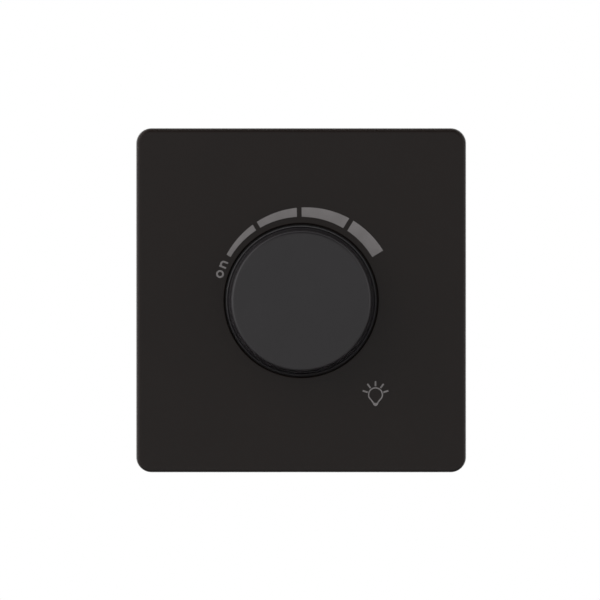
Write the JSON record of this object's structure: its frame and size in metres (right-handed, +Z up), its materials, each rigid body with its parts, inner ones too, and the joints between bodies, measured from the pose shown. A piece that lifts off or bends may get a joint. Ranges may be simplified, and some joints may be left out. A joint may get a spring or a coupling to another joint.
{
  "type": "dimmer switch",
  "caption": "Flush wall-box rotary dimmer: dark square face plate with a large plain turning knob and stepped brightness scale, clip-on plate, rear case with screw terminals.",
  "frame": {"origin": "centre of the face plate, on the wall plane where the mounting frame rests", "axes": "+Z up along the plate, +X to the right seen from the room, +Y into the wall, knob facing -Y"},
  "size_m": [0.086, 0.0427, 0.0896],
  "materials": {
    "plate_plastic": "fine satin moulding, warm near-black",
    "knob_plastic": "fine satin moulding, dark grey",
    "print_grey": "flat grey pad print",
    "frame_plastic": "moulded black polycarbonate",
    "case_plastic": "moulded black polycarbonate",
    "aluminium_sheet": "rolled sheet",
    "zinc_steel": "zinc plated",
    "die_cast": "zinc die casting",
    "brass": "turned brass",
    "bronze": "phosphor bronze strip",
    "phenolic": "brown phenolic",
    "board_laminate": "paper laminate",
    "epoxy_black": "moulded epoxy",
    "pad_grey": "silicone pad",
    "ferrite": "sintered ferrite",
    "copper_wire": "enamelled copper wire",
    "capacitor_yellow": "moulded film capacitor",
    "capacitor_red": "dipped film capacitor",
    "resistor_beige": "lacquered resistor",
    "glass_blue": "lacquered glass body",
    "fuse_ceramic": "ceramic fuse body"
  },
  "bodies": {
    "base": {"face_plate": "plate_plastic", "brightness_scale": "print_grey", "mounting_frame": "frame_plastic", "rear_case": "case_plastic", "support_plate": "aluminium_sheet", "frame_screws": "zinc_steel", "pot_bushing": "die_cast", "pot_wafer": "phenolic", "pot_tags": "brass", "pot_can": "zinc_steel", "switch_cup": "phenolic", "switch_pins": "brass", "lock_washer": "zinc_steel", "bushing_nut": "zinc_steel", "circuit_board": "board_laminate", "board_screws": "zinc_steel", "triac": "epoxy_black", "triac_pad": "pad_grey", "triac_screw": "zinc_steel", "choke_core": "ferrite", "choke_winding": "copper_wire", "suppression_capacitor": "capacitor_yellow", "timing_capacitor": "capacitor_red", "resistors": "resistor_beige", "diac": "glass_blue", "fuse": "fuse_ceramic", "terminal_pillars": "brass", "terminal_screws": "zinc_steel"},
    "dial": {"knob": "knob_plastic", "pot_shaft": "brass", "shaft_clip": "zinc_steel", "pot_rotor": "phenolic", "pot_wiper": "bronze"}
  },
  "joints": [
    {"name": "knob_turn", "type": "hinge", "parent": "base", "child": "dial", "pos_m": [0, 0, 0], "axis": [0, 1, 0], "range_deg": [0, 300]}
  ]
}
